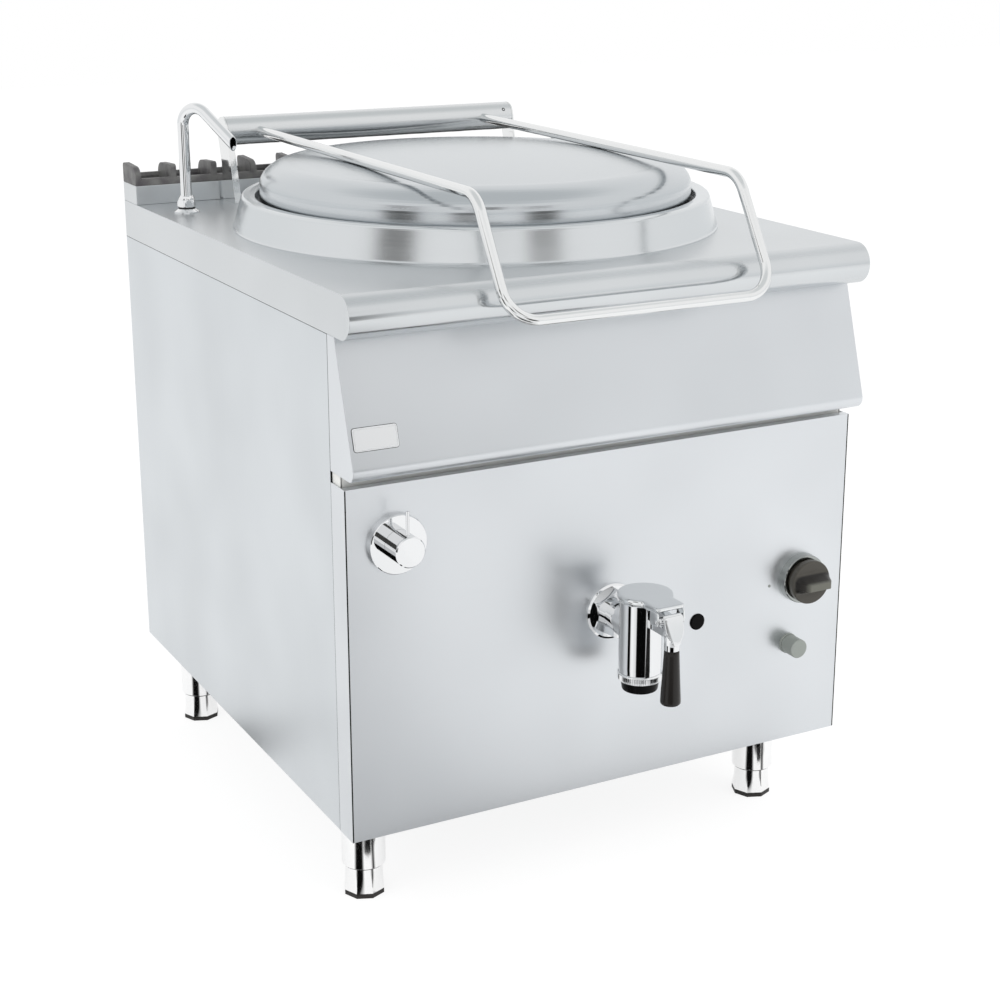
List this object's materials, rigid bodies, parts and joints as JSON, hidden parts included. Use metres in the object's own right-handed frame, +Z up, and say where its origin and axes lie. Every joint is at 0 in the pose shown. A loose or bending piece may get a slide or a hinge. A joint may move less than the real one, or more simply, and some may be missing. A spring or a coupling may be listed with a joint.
{
  "type": "boiling pan",
  "caption": "Free-standing round boiling pan with a hinged lid, loop handle, swivel spout, front drain tap and gas controls.",
  "frame": {"origin": "floor level, under the centre of the bounding box", "axes": "+X to the viewer's right, +Y to the back, +Z up"},
  "size_m": [0.8, 1.038, 1.059],
  "materials": {
    "satin_steel": "satin, ground along the width",
    "polished_steel": "polished stainless steel",
    "chrome_plate": "bright chrome plate",
    "galvanised_steel": "dull zinc",
    "black_iron": "rough, matt enamel",
    "burner_iron": "rough cast",
    "valve_brass": "machined",
    "copper_pipe": "drawn copper pipe",
    "ceramic_wool": "matt fibre blanket",
    "black_plastic": "matt black",
    "knob_plastic": "fine-grained dark grey",
    "button_plastic": "fine-grained mid grey",
    "seal_rubber": "matt",
    "lead_sheath": "silicone sheath",
    "spring_steel": "oiled wire",
    "bearing_plastic": "self-oiling bearing plastic"
  },
  "bodies": {
    "cabinet": {"chassis_frame": "galvanised_steel", "bottom_tray": "galvanised_steel", "left_side_panel": "satin_steel", "right_side_panel": "satin_steel", "rear_panel": "satin_steel", "front_panel": "satin_steel", "control_fascia": "satin_steel", "worktop": "satin_steel", "flue_box": "satin_steel", "flue_grille": "black_iron", "flue_duct": "galvanised_steel", "pan_vessel": "satin_steel", "pan_collar": "satin_steel", "chamber_shell": "galvanised_steel", "insulation_jacket": "ceramic_wool", "main_burner": "burner_iron", "pilot_burner": "galvanised_steel", "ignition_lead": "lead_sheath", "igniter_body": "black_plastic", "gas_valve": "valve_brass", "gas_supply_pipe": "copper_pipe", "burner_feed_pipe": "copper_pipe", "drain_pipe": "satin_steel", "leg_sleeves": "polished_steel", "tap_flange": "chrome_plate", "tap_nut": "chrome_plate", "tap_body": "chrome_plate", "tap_knurled_ring": "chrome_plate", "tap_outlet": "black_plastic", "water_rosette": "chrome_plate", "water_valve": "valve_brass", "water_inlet_pipes": "copper_pipe", "spout_feed_pipe": "copper_pipe", "spout_flange": "chrome_plate", "spout_nut": "chrome_plate", "hinge_posts": "polished_steel", "hinge_shaft": "galvanised_steel", "hinge_springs": "spring_steel", "knob_bezel": "chrome_plate", "panel_plug": "black_plastic"},
    "lid": {"lid_shell": "satin_steel", "lid_gasket": "seal_rubber", "lid_handle": "polished_steel", "hinge_beam": "polished_steel", "hinge_bushes": "bearing_plastic"},
    "spout": {"spout_pipe": "chrome_plate"},
    "water_control": {"water_handle": "chrome_plate", "water_handle_pin": "chrome_plate"},
    "drain_plunger": {"tap_cap": "chrome_plate", "tap_plunger": "galvanised_steel", "tap_lever_pin": "chrome_plate"},
    "drain_lever": {"tap_lever": "chrome_plate", "tap_grip": "black_plastic"},
    "gas_push": {"gas_valve_plunger": "galvanised_steel"},
    "gas_dial": {"gas_knob": "knob_plastic"},
    "igniter": {"igniter_button": "button_plastic"},
    "foot_front_left": {"levelling_foot_front_left": "polished_steel"},
    "foot_front_right": {"levelling_foot_front_right": "polished_steel"},
    "foot_rear_left": {"levelling_foot_rear_left": "polished_steel"},
    "foot_rear_right": {"levelling_foot_rear_right": "polished_steel"}
  },
  "joints": [
    {"name": "lid_hinge", "type": "hinge", "parent": "cabinet", "child": "lid", "pos_m": [0, 0.439, 1.0005], "axis": [-1, 0, 0], "range_deg": [0, 90], "deforming": ["hinge_springs"]},
    {"name": "spout_swivel", "type": "hinge", "parent": "cabinet", "child": "spout", "pos_m": [-0.352, 0.352, 0.95], "axis": [0, 0, 1], "range_deg": [-90, 45]},
    {"name": "water_turn", "type": "hinge", "parent": "cabinet", "child": "water_control", "pos_m": [-0.3285, -0.37, 0.556], "axis": [0, -1, 0], "range_deg": [-90, 90]},
    {"name": "drain_lift", "type": "slide", "parent": "cabinet", "child": "drain_plunger", "axis": [0, 0, 1], "range_m": [0, 0.012]},
    {"name": "drain_lever_turn", "type": "hinge", "parent": "drain_plunger", "child": "drain_lever", "pos_m": [0, -0.497, 0.439], "axis": [-1, 0, 0], "range_deg": [0, 90]},
    {"name": "gas_knob_push", "type": "slide", "parent": "cabinet", "child": "gas_push", "axis": [0, 1, 0], "range_m": [0, 0.004], "stiffness_N_per_m": 2000, "springref_m": -0.002},
    {"name": "gas_knob_turn", "type": "hinge", "parent": "gas_push", "child": "gas_dial", "pos_m": [0.325, -0.36, 0.397], "axis": [0, -1, 0], "range_deg": [0, 180]},
    {"name": "igniter_push", "type": "slide", "parent": "cabinet", "child": "igniter", "axis": [0, 1, 0], "range_m": [0, 0.004], "stiffness_N_per_m": 800, "springref_m": -0.003},
    {"name": "foot_front_left_level", "type": "slide", "parent": "cabinet", "child": "foot_front_left", "axis": [0, 0, 1], "range_m": [-0.035, 0.01]},
    {"name": "foot_front_right_level", "type": "slide", "parent": "cabinet", "child": "foot_front_right", "axis": [0, 0, 1], "range_m": [-0.035, 0.01]},
    {"name": "foot_rear_left_level", "type": "slide", "parent": "cabinet", "child": "foot_rear_left", "axis": [0, 0, 1], "range_m": [-0.035, 0.01]},
    {"name": "foot_rear_right_level", "type": "slide", "parent": "cabinet", "child": "foot_rear_right", "axis": [0, 0, 1], "range_m": [-0.035, 0.01]}
  ],
  "couplings": [
    {"joint": "drain_lift", "follows": "drain_lever_turn", "m_per_rad": 0.007639}
  ]
}
